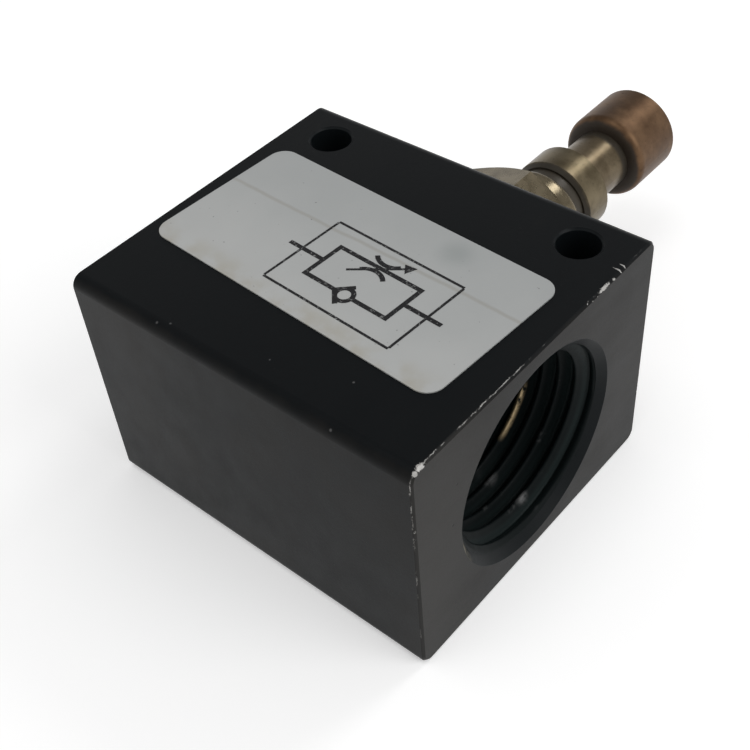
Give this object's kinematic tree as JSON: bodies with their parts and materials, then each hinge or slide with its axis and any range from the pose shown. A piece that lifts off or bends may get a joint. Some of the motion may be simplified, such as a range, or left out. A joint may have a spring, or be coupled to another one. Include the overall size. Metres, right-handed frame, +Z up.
{
  "type": "one-way flow control valve",
  "caption": "Inline one-way flow control valve: anodised block with threaded ports, a check poppet inside and a brass metering needle with lock nut and knob.",
  "frame": {"origin": "middle of the block's bottom face, midway between the ports and between the block's two side faces", "axes": "+X is the free-flow direction, from the inlet port to the outlet port; +Y points out along the adjusting stem to the knob; +Z is up, out of the labelled face"},
  "size_m": [0.04, 0.0668, 0.0261],
  "materials": {
    "anodised_block": "black anodised, satin, with bare chips at the sawn end's edges",
    "label_foil": "matt grey label stock with a plain flow schematic, aged at the edge",
    "bonnet_brass": "dull olive brass, bead-blasted",
    "nut_brass": "dull olive brass, turned",
    "stem_brass": "turned brass",
    "knob_copper": "coppery brown lacquered brass",
    "poppet_brass": "turned brass",
    "spring_steel": "bright spring steel",
    "set_screw_steel": "black oxide",
    "seal_rubber": "black nitrile rubber"
  },
  "bodies": {
    "housing": {"valve_body": "anodised_block", "label": "label_foil", "bonnet": "bonnet_brass", "bonnet_o_ring": "seal_rubber", "check_spring": "spring_steel"},
    "stem_seal": {"stem_o_ring": "seal_rubber"},
    "adjuster": {"needle_stem": "stem_brass", "stem_clip": "spring_steel", "knob": "knob_copper", "knob_set_screw": "set_screw_steel"},
    "lock_nut": {"lock_nut": "nut_brass"},
    "poppet": {"check_poppet": "poppet_brass", "poppet_seal": "seal_rubber"}
  },
  "joints": [
    {"name": "needle_slide", "type": "slide", "parent": "housing", "child": "stem_seal", "axis": [0, 1, 0], "range_m": [-0.00526, 0.00076]},
    {"name": "knob_turn", "type": "hinge", "parent": "stem_seal", "child": "adjuster", "pos_m": [0, 0.045, 0.013], "axis": [0, 1, 0], "range_deg": [-2520, 360]},
    {"name": "lock_nut_turn", "type": "hinge", "parent": "housing", "child": "lock_nut", "pos_m": [0, 0.0332, 0.013], "axis": [0, 1, 0], "range_deg": [0, 90]},
    {"name": "poppet_lift", "type": "slide", "parent": "housing", "child": "poppet", "axis": [0, 1, 0], "range_m": [0, 0.0022], "stiffness_N_per_m": 150, "springref_m": -0.003, "deforming": ["check_spring"]}
  ],
  "couplings": [
    {"joint": "needle_slide", "follows": "knob_turn", "m_per_rad": 0.00011937}
  ]
}
